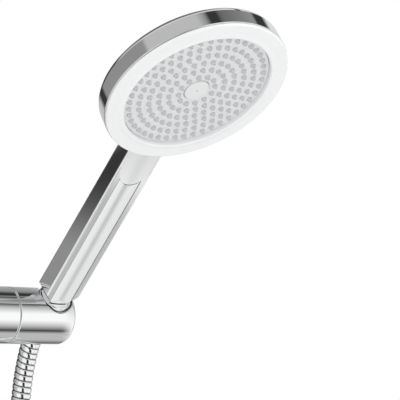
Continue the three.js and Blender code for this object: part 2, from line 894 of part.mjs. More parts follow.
head.add(
  piece("face_ring", faceRing(), finishes.white),
  piece("spray_plate", sprayPlate(), finishes.white),
  piece("centre_cap", centreCap(), finishes.white),
  piece("centre_screw", centreScrew(), finishes.steel),
  piece("chamber_ring", chamberRing(), finishes.rubber),
  piece("distributor_disc", distributorDisc(), finishes.grey),
);

export default assembly;
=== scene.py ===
# %% [markdown]
# # A hand shower in its swivel holder
# The CAD model gives every size and every joint. This file gives the same object its
# looks: each visible part is modelled again with finer curves, and each finish is made
# from nodes. The CAD nodes that nobody sees stay as they are and only get a material.

# %% Load the frame
import math

import bpy
from mathutils import Matrix, Vector


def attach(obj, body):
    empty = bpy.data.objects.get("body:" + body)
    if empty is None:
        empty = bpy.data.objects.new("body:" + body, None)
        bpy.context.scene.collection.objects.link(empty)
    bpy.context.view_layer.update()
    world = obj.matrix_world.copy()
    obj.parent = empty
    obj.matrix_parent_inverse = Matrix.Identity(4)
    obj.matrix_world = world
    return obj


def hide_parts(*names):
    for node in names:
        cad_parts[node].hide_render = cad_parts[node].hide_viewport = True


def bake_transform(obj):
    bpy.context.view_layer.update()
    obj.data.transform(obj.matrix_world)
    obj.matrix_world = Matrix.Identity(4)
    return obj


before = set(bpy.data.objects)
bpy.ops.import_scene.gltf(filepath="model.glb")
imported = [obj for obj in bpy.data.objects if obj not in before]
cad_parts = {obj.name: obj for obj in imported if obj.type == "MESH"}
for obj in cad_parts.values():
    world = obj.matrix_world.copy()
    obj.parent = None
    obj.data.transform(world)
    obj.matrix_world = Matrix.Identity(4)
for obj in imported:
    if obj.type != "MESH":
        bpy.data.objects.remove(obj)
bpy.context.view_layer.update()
MM = 0.001

# %% [markdown]
# ## Places
# The handle leans 45 degrees into the room and stands on the holder's barrel. A piece is
# modelled upright at the origin, where sizes are easy to read, and is then moved as one.

# %% The frames of the handset, the head and the holder
LEAN = math.radians(45)
TILT = math.radians(11.5)
HOLE = Vector((55, -52, 0)) * MM
RIM = 62.5
HEAD_UP = 215
HEAD_LEAD = 7.1 + 2.24 + RIM * math.sin(TILT)

hand_place = Matrix.Translation(HOLE) @ Matrix.Rotation(LEAN, 4, "X")
head_place = (
    hand_place
    @ Matrix.Translation(Vector((0, -HEAD_LEAD, HEAD_UP)) * MM)
    @ Matrix.Rotation(math.radians(90) + TILT, 4, "X")
)
barrel_place = Matrix.Translation(HOLE) @ Matrix.Rotation(math.radians(90), 4, "Y")
room_place = Matrix.Translation(Vector((0, -52, 0)) * MM) @ Matrix.Rotation(math.radians(90), 4, "X")

# %% [markdown]
# ## The camera
# It is a long lens a metre away, a little below the holder.

# %% Camera
AZIMUTH = math.radians(-41.27)
ELEVATION = math.radians(-6.5)
LENS = 126.07
AWAY, ASIDE, ABOVE = 1.0, 0.1113, 0.0828
back = Vector((
    math.sin(AZIMUTH) * math.cos(ELEVATION),
    -math.cos(AZIMUTH) * math.cos(ELEVATION),
    math.sin(ELEVATION),
))
right = Vector((math.cos(AZIMUTH), math.sin(AZIMUTH), 0))
up = back.cross(right)
lens_data = bpy.data.cameras.new("camera")
lens_data.sensor_width = 36
lens_data.lens = LENS
lens_data.clip_start = 0.01
camera = bpy.data.objects.new("camera", lens_data)
bpy.context.scene.collection.objects.link(camera)
camera.location = HOLE + back * AWAY + right * ASIDE + up * ABOVE
camera.rotation_mode = "QUATERNION"
camera.rotation_quaternion = (-back).to_track_quat("-Z", "Y")
bpy.context.scene.camera = camera
print("camera at", [round(value, 4) for value in camera.location])

# %% [markdown]
# ## Modelling helpers
# Most of a shower is turned on a lathe. Here a circle is added and extruded ring by ring,
# which gives even quads for mirror chrome to flow over. Boxes and cutters cover the rest.


# %% Select one object
def only(piece):
    if bpy.context.object and bpy.context.object.mode != "OBJECT":
        bpy.ops.object.mode_set(mode="OBJECT")
    bpy.ops.object.select_all(action="DESELECT")
    piece.select_set(True)
    bpy.context.view_layer.objects.active = piece


# %% Points of a rounded corner, for a profile of radius and height
def arc(centre_r, centre_z, radius, start, end, steps=6):
    turns = [math.radians(start + (end - start) * step / steps) for step in range(steps + 1)]
    return [(centre_r + radius * math.cos(turn), centre_z + radius * math.sin(turn)) for turn in turns]


# %% A turned piece, extruded ring by ring
def turned(name, profile, sides=128):
    smallest = 0.02
    rings = [(max(radius, smallest), height) for radius, height in profile]
    bpy.ops.object.select_all(action="DESELECT")
    bpy.ops.mesh.primitive_circle_add(
        vertices=sides, radius=rings[0][0] * MM, location=(0, 0, rings[0][1] * MM)
    )
    piece = bpy.context.object
    piece.name = name
    bpy.ops.object.transform_apply(location=True, rotation=True, scale=True)
    bpy.ops.object.mode_set(mode="EDIT")
    bpy.ops.mesh.select_all(action="SELECT")
    for (old_r, old_z), (new_r, new_z) in zip(rings, rings[1:]):
        rise = (0, 0, (new_z - old_z) * MM)
        bpy.ops.mesh.extrude_edges_move(TRANSFORM_OT_translate={"value": rise})
        share = new_r / old_r
        bpy.ops.transform.resize(value=(share, share, 1))
    bpy.ops.mesh.select_all(action="SELECT")
    bpy.ops.mesh.remove_doubles(threshold=0.000002)
    bpy.ops.mesh.fill_holes(sides=0)
    bpy.ops.mesh.select_all(action="SELECT")
    bpy.ops.mesh.normals_make_consistent(inside=False)
    bpy.ops.object.mode_set(mode="OBJECT")
    return piece


# %% A box between two corners, in millimetres
def boxed(name, low, high):
    bpy.ops.object.select_all(action="DESELECT")
    size = [b - a for a, b in zip(low, high)]
    middle = [(a + b) / 2 * MM for a, b in zip(low, high)]
    bpy.ops.mesh.primitive_cube_add(size=1, location=middle)
    piece = bpy.context.object
    piece.name = name
    piece.scale = [value * MM for value in size]
    bpy.ops.object.transform_apply(location=True, rotation=True, scale=True)
    return piece


# %% Move a finished mesh to its place, with its object left at the origin
def placed(piece, place):
    only(piece)
    piece.matrix_world = place @ piece.matrix_world
    bpy.ops.object.transform_apply(location=True, rotation=True, scale=True)
    return piece


# %% Cut or join with another piece, which is then removed
def combine(piece, tool, operation="DIFFERENCE"):
    only(piece)
    step = piece.modifiers.new("combine", "BOOLEAN")
    step.operation = operation
    step.solver = "EXACT"
    step.object = tool
    bpy.ops.object.modifier_apply(modifier=step.name)
    bpy.data.objects.remove(tool, do_unlink=True)
    return piece


# %% Soften edges a little and shade the faces smoothly
def finished(piece, edge=0.0, angle=38, limit=42):
    only(piece)
    if edge:
        step = piece.modifiers.new("edge", "BEVEL")
        step.width = edge * MM
        step.segments = 2
        step.limit_method = "ANGLE"
        step.angle_limit = math.radians(limit)
        step.harden_normals = False
        bpy.ops.object.modifier_apply(modifier=step.name)
    bpy.ops.object.shade_smooth_by_angle(angle=math.radians(angle))
    step = piece.modifiers.new("flat", "WEIGHTED_NORMAL")
    step.weight = 90
    step.keep_sharp = True
    bpy.ops.object.modifier_apply(modifier=step.name)
    return piece


# %% Join several meshes into the first
def merged(pieces):
    only(pieces[0])
    for piece in pieces[1:]:
        piece.select_set(True)
    if len(pieces) > 1:
        bpy.ops.object.join()
    return pieces[0]


# %% [markdown]
# ## Finishes
# Each finish starts from one shader. A noise on Object coordinates moves the roughness a
# little and lifts the surface by microns, so no finish is one flat value.


# %% A finish with fine variation in gloss and surface
def finish(name, colour, metallic, rough, spread=0.03, grain=900.0, lift=0.00002, **extra):
    material = bpy.data.materials.new(name)
    material.use_nodes = True
    nodes, links = material.node_tree.nodes, material.node_tree.links
    shader = nodes["Principled BSDF"]
    shader.inputs["Metallic"].default_value = metallic
    for socket, value in extra.items():
        shader.inputs[socket.replace("_", " ")].default_value = value
    place = nodes.new("ShaderNodeTexCoord")
    wide = nodes.new("ShaderNodeTexNoise")
    wide.inputs["Scale"].default_value = grain / 12
    wide.inputs["Detail"].default_value = 3
    fine = nodes.new("ShaderNodeTexNoise")
    fine.inputs["Scale"].default_value = grain
    fine.inputs["Detail"].default_value = 4
    links.new(place.outputs["Object"], wide.inputs["Vector"])
    links.new(place.outputs["Object"], fine.inputs["Vector"])
    gloss = nodes.new("ShaderNodeMapRange")
    gloss.inputs["To Min"].default_value = max(rough - spread, 0.01)
    gloss.inputs["To Max"].default_value = rough + spread
    links.new(wide.outputs["Fac"], gloss.inputs["Value"])
    links.new(gloss.outputs["Result"], shader.inputs["Roughness"])
    shade = nodes.new("ShaderNodeMix")
    shade.data_type = "RGBA"
    shade.inputs["A"].default_value = [value * 0.96 for value in colour] + [1]
    shade.inputs["B"].default_value = list(colour) + [1]
    links.new(wide.outputs["Fac"], shade.inputs["Factor"])
    links.new(shade.outputs["Result"], shader.inputs["Base Color"])
    bump = nodes.new("ShaderNodeBump")
    bump.inputs["Strength"].default_value = 0.25
    bump.inputs["Distance"].default_value = lift
    links.new(fine.outputs["Fac"], bump.inputs["Height"])
    links.new(bump.outputs["Normal"], shader.inputs["Normal"])
    return material


# %% The finishes of this shower
chrome = finish("polished_chrome", (0.88, 0.883, 0.887), 1.0, 0.03, 0.012, 700, 0.000002)
satin = finish("satin_chrome", (0.92, 0.925, 0.93), 1.0, 0.17, 0.03, 1500, 0.000006)
steel = finish("plain_steel", (0.56, 0.57, 0.58), 1.0, 0.36, 0.06, 1200)
brass = finish("turned_brass", (0.66, 0.52, 0.28), 1.0, 0.3, 0.06, 1100)
white = finish("white_plastic", (0.93, 0.935, 0.94), 0.0, 0.24, 0.05, 1400, 0.00001, Coat_Weight=0.15)
plate_white = finish("plate_plastic", (0.82, 0.825, 0.83), 0.0, 0.34, 0.05, 1400, 0.00001)
silicone = finish("nozzle_silicone", (0.62, 0.63, 0.64), 0.0, 0.26, 0.06, 1600, 0.00002, Coat_Weight=0.2)
grey = finish("grey_plastic", (0.36, 0.37, 0.38), 0.0, 0.46, 0.06, 1200)
rubber = finish("black_rubber", (0.03, 0.03, 0.032), 0.0, 0.6, 0.08, 1600, 0.00004)
dark = finish("dark_plastic", (0.10, 0.105, 0.11), 0.0, 0.42, 0.06, 1300)


# %% Give a piece its finish and body, and hide the CAD nodes it replaces
def dress(piece, material, body, slot, *nodes):
    piece.data.materials.clear()
    piece.data.materials.append(material)
    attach(piece, body)
    if nodes:
        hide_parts(*nodes)
    print(piece.name, len(piece.data.polygons), "faces")
    return piece


# %% [markdown]
# ## The head's shell
# The rim and the slightly domed back are one plated moulding. A turned profile gives the
# straight band, the round shoulder and the low dome without a visible facet.

# %% Head shell
BAND = 12.6
SHOULDER = 4.5
shoulder_r = RIM - SHOULDER
dome_rise = 5
dome_radius = (shoulder_r ** 2 + dome_rise ** 2) / (2 * dome_rise)
dome_top = -BAND - SHOULDER - dome_rise + dome_radius
dome = []
for step in range(0, 9):
    radius = shoulder_r * step / 9
    dome.append((radius, dome_top - math.sqrt(dome_radius ** 2 - radius ** 2)))
shell_profile = [
    *dome,
    *arc(shoulder_r, -BAND, SHOULDER, -90, 0, 12),
    (RIM, -6),
    (RIM, -2.9),
    *arc(RIM - 0.5, -2.8, 0.5, 0, 90, 3),
    (RIM - 2.0, -2.3),
    (RIM - 2.2, -BAND),
    (0, -BAND - 2),
]
head_shell = finished(turned("head_shell", shell_profile, 192), angle=32)
placed(head_shell, head_place)

# %% [markdown]
# ## The handle
# A flat bar with softly rounded long edges, chamfered at the foot. Its front has a recess
# for the trim strip and a shallow scoop under the rim, where a thumb rests.

# %% Handle bar
HALF = 14.2
FRONT = -7.1
BACK_FOOT = 7.6
BACK_NECK = 6
FOOT = 19
NECK = 178
EDGE = 1.3
CHAMFER_WIDE, CHAMFER_HIGH = 7.2, 5


def chamfer_foot(piece, low):
    only(piece)
    bpy.ops.object.mode_set(mode="EDIT")
    for side in (-1, 1):
        bpy.ops.mesh.select_all(action="SELECT")
        bpy.ops.mesh.bisect(
            plane_co=(side * (HALF - CHAMFER_WIDE) * MM, 0, low * MM),
            plane_no=(side * CHAMFER_HIGH, 0, -CHAMFER_WIDE),
            use_fill=True,
            clear_outer=True,
        )
    bpy.ops.mesh.select_all(action="SELECT")
    bpy.ops.mesh.normals_make_consistent(inside=False)
    bpy.ops.object.mode_set(mode="OBJECT")


handle = boxed("handle_bar", (-HALF, FRONT, FOOT), (HALF, BACK_FOOT, NECK))
for corner in handle.data.vertices:
    corner.select = corner.co.y > 0 and corner.co.z > 0.1
for edge in handle.data.edges:
    edge.select = all(handle.data.vertices[index].select for index in edge.vertices)
for face in handle.data.polygons:
    face.select = False
bpy.ops.object.mode_set(mode="EDIT")
bpy.ops.transform.translate(value=(0, (BACK_NECK - BACK_FOOT) * MM, 0))
bpy.ops.object.mode_set(mode="OBJECT")
for edge in handle.data.edges:
    low, high = (handle.data.vertices[index].co for index in edge.vertices)
    edge.select = abs(high.z - low.z) > 0.1
for part in (*handle.data.vertices, *handle.data.polygons):
    part.select = False
bpy.ops.object.mode_set(mode="EDIT")
bpy.ops.mesh.select_mode(type="EDGE")
bpy.ops.mesh.bevel(offset=EDGE * MM, segments=10, affect="EDGES")
bpy.ops.mesh.select_mode(type="VERT")
bpy.ops.object.mode_set(mode="OBJECT")
chamfer_foot(handle, FOOT)

# %% [markdown]
# The scoop and the recess are cut with an ellipsoid and a slim box. The recess is a little
# wider than the strip, and the gap left on each side is the dark line along the handle.

# %% Scoop and recess
SCOOP_Z = 150
scoop_half = (22, 8, 32)
scoop_deep = 2.2
RIM_ACROSS, RIM_ALONG = 15.15, 22.04
PANEL = 8.6
GROOVE = 9.2
RECESS = 1.3


def ellipsoid(name, grow=0.0):
    bpy.ops.object.select_all(action="DESELECT")
    bpy.ops.mesh.primitive_uv_sphere_add(
        segments=96, ring_count=48, radius=1,
        location=(0, (scoop_deep + FRONT - scoop_half[1]) * MM, SCOOP_Z * MM),
    )
    tool = bpy.context.object
    tool.name = name
    tool.scale = [(half + grow) * MM for half in scoop_half]
    bpy.ops.object.transform_apply(location=True, rotation=True, scale=True)
    return tool


def scoop_rim(name, grow=0.0):
    bpy.ops.object.select_all(action="DESELECT")
    bpy.ops.mesh.primitive_cylinder_add(
        vertices=160, radius=1, depth=0.04, location=(0, FRONT * MM, SCOOP_Z * MM),
        rotation=(math.radians(90), 0, 0),
    )
    tool = bpy.context.object
    tool.name = name
    tool.scale = ((RIM_ACROSS + grow) * MM, (RIM_ALONG + grow) * MM, 1)
    bpy.ops.object.transform_apply(location=True, rotation=True, scale=True)
    return tool


recess = boxed("recess", (-GROOVE, FRONT - 2, FOOT - 2), (GROOVE, FRONT + RECESS, SCOOP_Z))
combine(recess, scoop_rim("rim"))
combine(handle, recess)
combine(handle, ellipsoid("scoop"))
finished(handle, 0.12, 12, 30)

# %% Mark the thumb rest, which is blasted a little duller than the polished bar
rest_mark = handle.data.attributes.new("thumb_rest", "FLOAT", "FACE")
for face in handle.data.polygons:
    x, y, z = face.center / MM
    y -= scoop_deep + FRONT - scoop_half[1]
    z -= SCOOP_Z
    out = (x / scoop_half[0]) ** 2 + (y / scoop_half[1]) ** 2 + (z / scoop_half[2]) ** 2
    rest_mark.data[face.index].value = 1.0 if y > 0 and 0.97 < out < 1.01 else 0.0
placed(handle, hand_place)
body_shell = merged([head_shell, handle])
body_shell.name = "casing"
casing_chrome = finish("casing_chrome", (0.88, 0.883, 0.887), 1.0, 0.03, 0.012, 700, 0.000002)
tree = casing_chrome.node_tree
gloss_socket = tree.nodes["Principled BSDF"].inputs["Roughness"]
marked = tree.nodes.new("ShaderNodeAttribute")
marked.attribute_name = "thumb_rest"
duller = tree.nodes.new("ShaderNodeMath")
duller.operation = "MULTIPLY_ADD"
duller.inputs[1].default_value = 0.3
tree.links.new(marked.outputs["Fac"], duller.inputs[0])
tree.links.new(gloss_socket.links[0].from_socket, duller.inputs[2])
tree.links.new(duller.outputs[0], gloss_socket)
dress(body_shell, casing_chrome, "handset", "chrome", "body_shell")

# %% [markdown]
# ## The trim strip
# A low crown across its width makes the strip catch one soft highlight along the handle.
# The strip is the piece that a slim box and a very wide cylinder have in common.

# %% Trim strip
PROUD = 0.6
STRIP_LIFT = 0.4
CROWN = 0.75
crown_radius = (PANEL ** 2 + CROWN ** 2) / (2 * CROWN)
strip = boxed("trim_strip", (-PANEL, FRONT - 2, FOOT + STRIP_LIFT), (PANEL, FRONT + RECESS - 0.2, SCOOP_Z))
crown_tool = turned("crown", [(0, 0), (crown_radius, 0), (crown_radius, 200), (0, 200)], 720)
placed(crown_tool, Matrix.Translation((0, (FRONT - PROUD + crown_radius) * MM, 0)))
combine(strip, crown_tool, "INTERSECT")
chamfer_foot(strip, FOOT + STRIP_LIFT)
combine(strip, scoop_rim("rim", 0.25))
finished(strip, 0.12, 30)
placed(strip, hand_place)
dress(strip, satin, "handset", "satin", "handle_panel")

# %% [markdown]
# ## The white ring and the nozzle plate
# The ring has a flat flange, a rounded outer edge and a raised inner lip that drops to the
# plate. The plate carries six rings of soft nozzles, so scale can be rubbed off.

# %% White ring
RING_IN = 50
ring_profile = [
    (RING_IN, -4.6),
    (RING_IN, -1.3),
    *arc(RING_IN + 1.3, -1.0, 1.3, 180, 80, 7),
    (RING_IN + 3.2, 0.0),
    (RING_IN + 4.4, -0.22),
    (RIM - 2.2, -0.22),
    *arc(RIM - 1.35, -1.1, 0.88, 90, 0, 5),
    (RIM - 0.47, -2.0),
    (RIM - 2.6, -2.0),
    (RIM - 2.6, -4.6),
    (RING_IN, -4.6),
]
ring = finished(turned("white_ring", ring_profile, 192), angle=40)
placed(ring, head_place)
dress(ring, white, "handset", "white", "face_ring")

# %% Nozzle plate
PLATE_TOP = -3.6
plate_profile = [
    (8.8, PLATE_TOP - 2.3),
    (8.8, PLATE_TOP - 0.3),
    *arc(9.1, PLATE_TOP - 0.3, 0.3, 180, 90, 3),
    (20, PLATE_TOP),
    (35, PLATE_TOP),
    (48.6, PLATE_TOP),
    *arc(49.2, PLATE_TOP + 0.6, 0.6, -90, -10, 4),
    (49.85, PLATE_TOP - 2.3),
    (8.8, PLATE_TOP - 2.3),
]
plate = finished(turned("nozzle_plate", plate_profile, 160), angle=40)
placed(plate, head_place)

# %% One soft nozzle, copied into six rings
NOZZLE_RINGS = (12.5, 19.2, 25.9, 32.6, 39.3, 46)
NOZZLE_PITCH = 6.5
nozzle_profile = [(1.95, -0.15), (1.8, 0.4), (1.35, 1.8), (1.15, 2.1), (0.5, 2.15), (0.42, 1.4)]
one = finished(turned("nozzle", nozzle_profile, 10), angle=50)
nozzles = []
for radius in NOZZLE_RINGS:
    count = round(2 * math.pi * radius / NOZZLE_PITCH)
    for index in range(count):
        turn = 2 * math.pi * index / count
        copy = one.copy()
        copy.data = one.data.copy()
        bpy.context.scene.collection.objects.link(copy)
        copy.location = Vector((radius * math.cos(turn), radius * math.sin(turn), PLATE_TOP)) * MM
        nozzles.append(copy)
bpy.data.objects.remove(one, do_unlink=True)
nozzle_field = merged(nozzles)
nozzle_field.name = "soft_nozzles"
bpy.ops.object.transform_apply(location=True, rotation=True, scale=True)
placed(nozzle_field, head_place)
dress(plate, plate_white, "handset", "white", "spray_plate")
dress(nozzle_field, silicone, "handset", "soft_white", "spray_plate")
print(len(nozzles), "nozzles")

# %% [markdown]
# ## The centre cap
# A smooth round cap hides the screw that holds the face. It has one fine hole, which lets
# the chamber behind it drain.

# %% Centre cap
cap_profile = [
    (0.5, PLATE_TOP - 1.0),
    (0.5, PLATE_TOP + 0.72),
    (0.7, PLATE_TOP + 0.9),
    (4, PLATE_TOP + 0.88),
    *arc(7.6, PLATE_TOP - 0.02, 0.86, 90, 0, 5),
    (8.46, PLATE_TOP - 1.3),
    (0.5, PLATE_TOP - 1.3),
    (0.5, PLATE_TOP - 1.0),
]
cap = finished(turned("centre_button", cap_profile, 96), angle=40)
placed(cap, head_place)
dress(cap, plate_white, "handset", "white", "centre_cap")

# %% [markdown]
# ## The cone nut
# The hose screws on with a tapered nut, and that taper is what hangs in the holder. Only
# its collar shows between the foot and the barrel.

# %% Cone nut
cone_profile = [
    (8.6, -14),
    (9.7, -14),
    (10.2, -13.4),
    (11.75, 14.6),
    (11.9, 15.5),
    (12.0, 16.0),
    (12.0, 18.2),
    *arc(11.4, 18.25, 0.6, 0, 90, 4),
    (5.4, 18.85),
    (5.4, 17.2),
    (8.6, 17.2),
    (8.6, -14),
]
cone = finished(turned("taper_nut", cone_profile, 96), angle=36)
placed(cone, hand_place)
dress(cone, chrome, "handset", "chrome", "cone_nut")

# %% [markdown]
# ## The swivel barrel
# The barrel is turned with a well rounded free end. The tapered hole and the slot that the
# hose passes through are cut across it, on the handle's lean.

# %% Swivel barrel
BARREL = 20
END = 15
ROUND = 4
barrel_profile = [
    (0, -32.55),
    (BARREL - 0.25, -32.55),
    *arc(BARREL - 0.25, -32.3, 0.25, -90, 0, 3),
    (BARREL, -31.9),
    (BARREL, -20),
    (BARREL, -6),
    (BARREL, 2),
    *arc(BARREL - ROUND, END - ROUND, ROUND, 0, 90, 12),
    (0, END),
]
barrel = placed(turned("swivel_barrel", barrel_profile, 160), barrel_place)
BORE = 13.36
for name, radius, low, high in (("bore", BORE, -14.5, 34), ("exit", 10, -34, -13)):
    tool = turned(name, [(0, low), (radius, low), (radius, high), (0, high)], 96)
    combine(barrel, placed(tool, hand_place))
SLOT_HALF, SLOT_DEEP, SLOT_REACH = 7.8, 27, 60


def slot_tool():
    low, high = (-SLOT_HALF, 0, -SLOT_REACH), (SLOT_HALF, SLOT_DEEP, SLOT_REACH)
    return placed(boxed("slot", low, high), hand_place)


combine(barrel, slot_tool())
finished(barrel, 0.25, 34)
dress(barrel, chrome, "swivel_barrel", "chrome", "front_barrel")

# %% [markdown]
# ## The bush
# A grey plastic bush lines the hole, so the chrome taper never rubs on chrome. It is
# slotted like the barrel.

# %% Bush
bush_profile = [
    (10.42, -14.2),
    (13.06, -14.2),
    (13.06, 15.1),
    *arc(12.8, 15.0, 0.26, 0, 90, 3),
    (12.25, 15.2),
    (12.1, 12.0),
    (10.42, -14.2),
]
bush = placed(turned("cone_lining", bush_profile, 96), hand_place)
combine(bush, slot_tool())
finished(bush, 0, 34)
dress(bush, grey, "swivel_barrel", "grey", "cone_bush")

# %% [markdown]
# ## The fixed half and the wall fitting
# The other half of the barrel, its neck and the rosette are one casting. Three turned
# shapes are joined, and the seam between them is softened as a casting is.

# %% Fixed half
fixed_profile = [
    (0, -76),
    (BARREL - 0.4, -76),
    *arc(BARREL - 0.4, -75.6, 0.4, -90, 0, 3),
    (BARREL, -60),
    (BARREL, -45),
    (BARREL, -34.2),
    (BARREL, -33.65),
    *arc(BARREL - 0.25, -33.65, 0.25, 0, 90, 3),
    (0, -33.4),
]
fixed = placed(turned("fixed_barrel", fixed_profile, 128), barrel_place)
neck_profile = [(0, -50), (12, -50), (12, -30), (12, 0), (0, 0)]
neck = placed(turned("neck", neck_profile, 96), room_place)
rosette_profile = [
    (22.9, -51.7),
    (27, -51.7),
    (27, -48),
    *arc(24, -47, 3, 0, 90, 8),
    (12, -44),
    (0, -44),
    (0, -46.7),
    (22.9, -46.7),
    (22.9, -51.7),
]
rosette = placed(turned("rosette", rosette_profile, 128), room_place)
combine(fixed, neck, "UNION")
combine(fixed, rosette, "UNION")
finished(fixed, 0.6, 34)
fixed.name = "wall_bracket"
dress(fixed, chrome, "bracket", "chrome", "bracket_body")

# %% End cap
cap_end_profile = [
    (0, -79.3),
    (10, -79.3),
    *arc(BARREL - 1.5, -77.8, 1.5, -90, 0, 6),
    (BARREL, -76.3),
    (13.7, -76.3),
    (13.7, -70.3),
    (0, -70.3),
]
end_cap = finished(turned("blind_cap", cap_end_profile, 128), angle=34)
placed(end_cap, barrel_place)
dress(end_cap, chrome, "bracket", "chrome", "end_cap")

# %% [markdown]
# ## The hose
# A shower hose is a strip of plated metal wound into a tight spiral. Each winding stands
# up as a rounded ridge with a dark gap beside it. The tube follows one smooth line of
# points: down from the holder, then three neat turns, then the end that meets the wall.

# %% The hose's line
HOSE = 7.0
hose_points = [
    (55, -44.7, -7.3), (55, -41.6, -10.6), (55, -38.7, -14.3), (55, -36.1, -18.7),
    (55, -33.4, -24.2), (55, -30.9, -30.6), (55, -28.6, -37.6), (55, -26.6, -45.2),
    (55, -25.1, -53.2), (55, -24, -61.5), (55.4, -23.2, -70), (57.6, -22.5, -80),
    (62.4, -22, -91), (69.8, -21.6, -102), (79, -21.3, -112.5), (90, -21.1, -123.2),
    (101, -21, -133.9), (110.4, -21, -144.8), (117.8, -21, -156), (122.8, -21, -168),
    (124.8, -21, -181), (125, -21, -193), (125, -21, -205.4),
]
COIL_R = 70
COIL_TURNS = 3
COIL_PITCH = 14.6
COIL_Z = -250
hose_points.append((125, -21, -228))
for step in range(0, COIL_TURNS * 24 + 1):
    turn = 2 * math.pi * step / 24
    hose_points.append((
        55 + COIL_R * math.cos(turn),
        -21 - COIL_PITCH * step / 24,
        COIL_Z - COIL_R * math.sin(turn),
    ))
hose_points += [(125, -64.8, -272), (125, -64.8, -294.6), (125, -64.8, -316.4)]


# %% A smooth line through the points, in even steps
def smooth_line(points, step):
    dots = [Vector(point) for point in points]
    dots = [2 * dots[0] - dots[1], *dots, 2 * dots[-1] - dots[-2]]
    line = []
    for a, b, c, d in zip(dots, dots[1:], dots[2:], dots[3:]):
        for part in range(24):
            t = part / 24
            line.append(0.5 * (
                2 * b + (c - a) * t + (2 * a - 5 * b + 4 * c - d) * t ** 2
                + (3 * b - a - 3 * c + d) * t ** 3
            ))
    line.append(dots[-2])
    even, left = [line[0]], step
    for start, end in zip(line, line[1:]):
        length = (end - start).length
        while length >= left and length > 0:
            start = start.lerp(end, left / length)
            length = (end - start).length
            even.append(start)
            left = step
        left -= length
    return even


# %% The wound metal tube
RIDGE = 4.4
STATIONS = 10
SIDES = 22
line = smooth_line(hose_points, RIDGE / STATIONS)
side_way = Vector((1, 0, 0))
corners, faces, depths = [], [], []
for index, dot in enumerate(line):
    ahead = line[min(index + 1, len(line) - 1)] - line[max(index - 1, 0)]
    ahead.normalize()
    side_way = (side_way - ahead * side_way.dot(ahead)).normalized()
    other = ahead.cross(side_way)
    for side in range(SIDES):
        angle = 2 * math.pi * side / SIDES
        phase = (index / STATIONS + side / SIDES) % 1.0
        swell = math.sin(math.pi * phase)
        ridge = min(1.0, 2.0 * swell)
        radius = HOSE - 0.95 + 0.8 * ridge + 0.15 * swell
        point = dot + (side_way * math.cos(angle) + other * math.sin(angle)) * radius
        corners.append(point * MM)
        depths.append(ridge)
for index in range(len(line) - 1):
    for side in range(SIDES):
        a = index * SIDES + side
        b = index * SIDES + (side + 1) % SIDES
        faces.append((a, b, b + SIDES, a + SIDES))
faces.append(tuple(reversed(range(SIDES))))
faces.append(tuple(range((len(line) - 1) * SIDES, len(line) * SIDES)))
hose_mesh = bpy.data.meshes.new("metal_hose")
hose_mesh.from_pydata([tuple(corner) for corner in corners], [], faces)
hose_mesh.update()
deep = hose_mesh.attributes.new("ridge", "FLOAT", "POINT")
deep.data.foreach_set("value", depths)
hose = bpy.data.objects.new("metal_hose", hose_mesh)
bpy.context.scene.collection.objects.link(hose)
only(hose)
bpy.ops.object.mode_set(mode="EDIT")
bpy.ops.mesh.select_all(action="SELECT")
bpy.ops.mesh.normals_make_consistent(inside=False)
bpy.ops.object.mode_set(mode="OBJECT")
bpy.ops.object.shade_smooth()

# %% [markdown]
# The ridge height is stored on the mesh. The finish reads it and paints the gaps between the windings
# dark, as painted shade where the windings shadow each other.

# %% Hose finish, with painted shade in the gaps between the windings
hose_finish = finish("wound_chrome", (0.88, 0.883, 0.887), 1.0, 0.06, 0.02, 1500, 0.000004)
tree = hose_finish.node_tree
shader = tree.nodes["Principled BSDF"]
base = shader.inputs["Base Color"].links[0].from_socket
stored = tree.nodes.new("ShaderNodeAttribute")
stored.attribute_name = "ridge"
shade = tree.nodes.new("ShaderNodeMapRange")
shade.interpolation_type = "SMOOTHSTEP"
shade.inputs["From Min"].default_value = 0.3
shade.inputs["From Max"].default_value = 0.8
# Colour A is painted shade: near black, laid into the gaps where the ridge value is low.
painted_gap_shade = tree.nodes.new("ShaderNodeMix")
painted_gap_shade.data_type = "RGBA"
painted_gap_shade.inputs["A"].default_value = (0.05, 0.05, 0.052, 1)
tree.links.new(stored.outputs["Fac"], shade.inputs["Value"])
tree.links.new(shade.outputs["Result"], painted_gap_shade.inputs["Factor"])
tree.links.new(base, painted_gap_shade.inputs["B"])
tree.links.new(painted_gap_shade.outputs["Result"], shader.inputs["Base Color"])
hose.data.materials.append(hose_finish)
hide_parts("hose_tube", "hose_coil", "hose_tail")
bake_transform(hose)
print("metal_hose", len(hose.data.polygons), "faces")

# %% [markdown]
# ## CAD nodes that stay
# Screws, washers and fittings are already the right shape. Each gets its own finish.

# %% Finishes for the CAD nodes
kept = {
    "wall_plate": steel, "grub_screw": steel, "pivot_bolt": steel, "spring_washer": steel,
    "centre_screw": steel, "friction_ring": grey, "distributor_disc": grey,
    "waterway_tube": white, "flow_regulator": dark, "coil_tie": dark,
    "tube_seal": rubber, "filter_washer": rubber, "chamber_ring": rubber, "end_washer": rubber,
    "inlet_spigot": brass, "hose_ferrule": brass, "tail_ferrule": brass, "hex_nut": chrome,
}
for name, material in kept.items():
    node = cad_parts[name]
    node.data.materials.clear()
    node.data.materials.append(material)

# %% [markdown]
# ## Light
# Chrome shows its surroundings, so the studio is a set of bright and dark cards. They are in
# the world and hold still when the camera moves, but they are laid out for one camera: the
# barrel and the rim each have a set of their own, where they mirror it from there. From
# other sides the chrome is plainer. The cards' angles and levels aren't a studio's design.
# They are measured brightness with fewer steps, so they are no example to copy, and a
# studio laid out by eye should take their place.

# %% The studio's surroundings
world = bpy.data.worlds.new("studio")
bpy.context.scene.world = world
world.use_nodes = True
wn, wl = world.node_tree.nodes, world.node_tree.links
for node in list(wn):
    wn.remove(node)
way = wn.new("ShaderNodeTexCoord")


# %% How far a direction leans along another, from -1 to 1
def along(direction):
    dot = wn.new("ShaderNodeVectorMath")
    dot.operation = "DOT_PRODUCT"
    dot.inputs[1].default_value = Vector(direction).normalized()
    wl.new(way.outputs["Generated"], dot.inputs[0])
    return dot.outputs["Value"]


